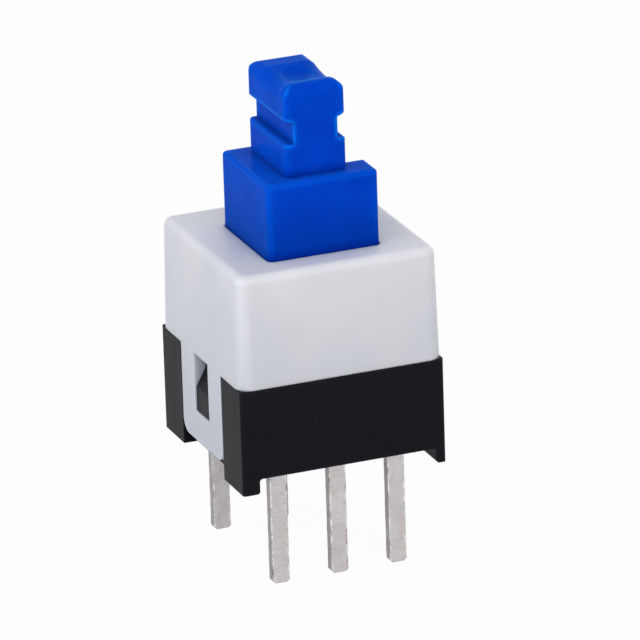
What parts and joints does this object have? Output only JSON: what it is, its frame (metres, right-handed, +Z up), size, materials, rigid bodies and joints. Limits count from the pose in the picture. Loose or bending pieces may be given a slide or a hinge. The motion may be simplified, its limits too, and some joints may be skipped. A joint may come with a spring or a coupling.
{
  "type": "latching push button switch",
  "caption": "Latching push button switch for a circuit board: black base, white cover, blue notched plunger and two rows of flat legs.",
  "frame": {"origin": "middle of the board seating plane, under the four feet; the legs reach below it", "axes": "+Z up out of the board along the plunger's travel, +X along the rows of legs, -Y the front face that the plunger's block is nearer to"},
  "size_m": [0.0086, 0.0086, 0.0201],
  "materials": {
    "base_plastic": "satin moulded black thermoplastic",
    "cover_plastic": "satin moulded white thermoplastic",
    "plunger_plastic": "semi-gloss moulded blue thermoplastic",
    "tinned_brass": "dull tin plate with stamping marks",
    "spring_steel": "bright drawn wire",
    "latch_steel": "bright bent wire",
    "contact_bronze": "silver-plated strip"
  },
  "bodies": {
    "housing": {"base": "base_plastic", "cover": "cover_plastic", "return_spring": "spring_steel", "terminal_front_left": "tinned_brass", "terminal_front_middle": "tinned_brass", "terminal_front_right": "tinned_brass", "terminal_rear_left": "tinned_brass", "terminal_rear_middle": "tinned_brass", "terminal_rear_right": "tinned_brass"},
    "slider": {"plunger": "plunger_plastic", "contact_front": "contact_bronze", "contact_rear": "contact_bronze"},
    "latch": {"latch_pin": "latch_steel"}
  },
  "joints": [
    {"name": "plunger_slide", "type": "slide", "parent": "housing", "child": "slider", "axis": [0, 0, -1], "range_m": [0, 0.0022], "stiffness_N_per_m": 400, "springref_m": -0.0025, "deforming": ["return_spring"]},
    {"name": "latch_swing", "type": "hinge", "parent": "housing", "child": "latch", "pos_m": [0.0033, -0.0002, 0.00235], "axis": [1, 0, 0], "range_deg": [0, 19.2]}
  ],
  "couplings": [
    {"joint": "latch_swing", "follows": "plunger_slide", "rad_per_m": 152.2}
  ]
}
